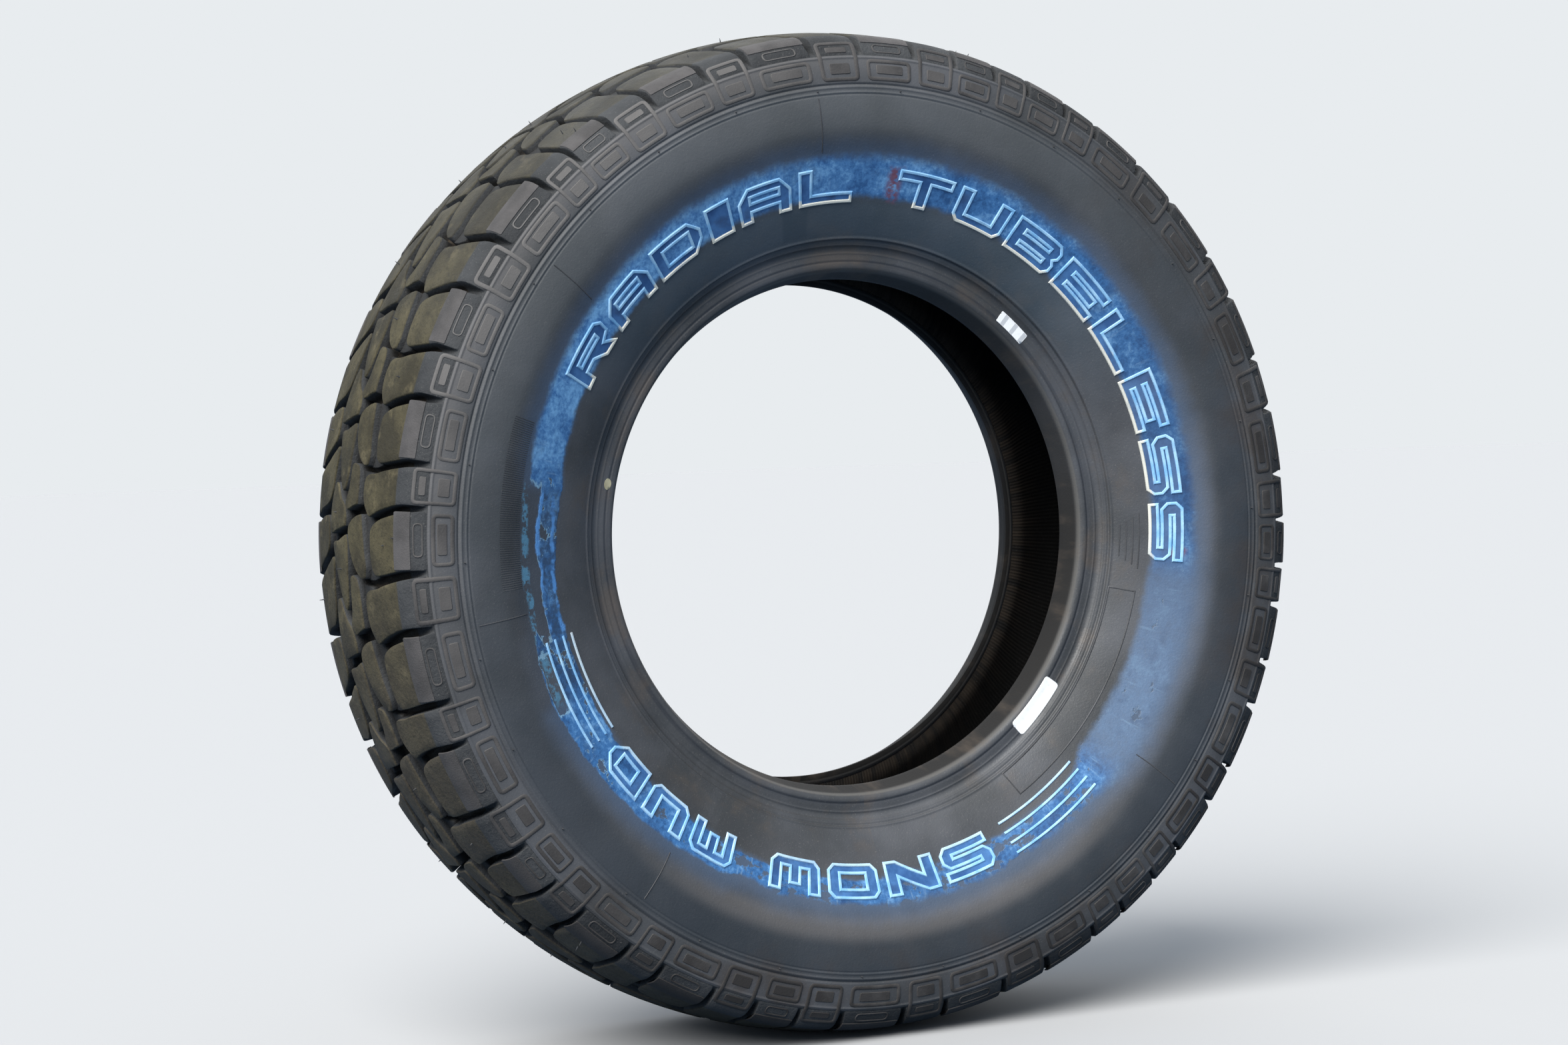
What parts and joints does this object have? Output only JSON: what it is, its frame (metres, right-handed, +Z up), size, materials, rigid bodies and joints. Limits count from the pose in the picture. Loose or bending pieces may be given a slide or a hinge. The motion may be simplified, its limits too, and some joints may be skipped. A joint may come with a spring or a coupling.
{
  "type": "unmounted all-terrain truck tire",
  "caption": "Unmounted all-terrain light-truck tire with deep tread blocks, outlined raised letters and a worn blue protective paint band on its front sidewall.",
  "frame": {"origin": "centre of the tire, on its spin axis midway between the two sidewalls", "axes": "+Y is the spin axis, with the lettered front sidewall facing -Y; +Z is up, with the tread standing on its flat at -Z; +X is to the right as seen from the front"},
  "size_m": [0.7998, 0.2264, 0.7968],
  "materials": {
    "tread_rubber": "matte, dusty moulded rubber",
    "sidewall_rubber": "satin moulded rubber",
    "inner_rubber": "matte",
    "liner_rubber": "satin, lightly bloomed",
    "white_rubber": "matte",
    "textile_cord": "rubber-dipped cord",
    "steel_cord": "brass-plated cord",
    "bead_wire": "bronze-plated wire",
    "label_paper": "matte paper label"
  },
  "bodies": {
    "root": {"tread_cap": "tread_rubber", "tread_base": "inner_rubber", "cap_ply": "textile_cord", "steel_belt_outer": "steel_cord", "steel_belt_inner": "steel_cord", "belt_edge_wedge_front": "inner_rubber", "belt_edge_wedge_back": "inner_rubber", "body_ply_outer": "textile_cord", "body_ply_inner": "textile_cord", "inner_liner": "liner_rubber", "bead_core_front": "bead_wire", "bead_core_back": "bead_wire", "bead_filler_front": "inner_rubber", "bead_filler_back": "inner_rubber", "chafer_front": "sidewall_rubber", "chafer_back": "sidewall_rubber", "sidewall_front": "sidewall_rubber", "sidewall_back": "sidewall_rubber", "sidewall_veneer": "sidewall_rubber", "white_rubber_insert": "white_rubber", "tread_wing_front": "sidewall_rubber", "tread_wing_back": "sidewall_rubber", "bead_label": "label_paper", "small_label": "label_paper"}
  },
  "joints": []
}
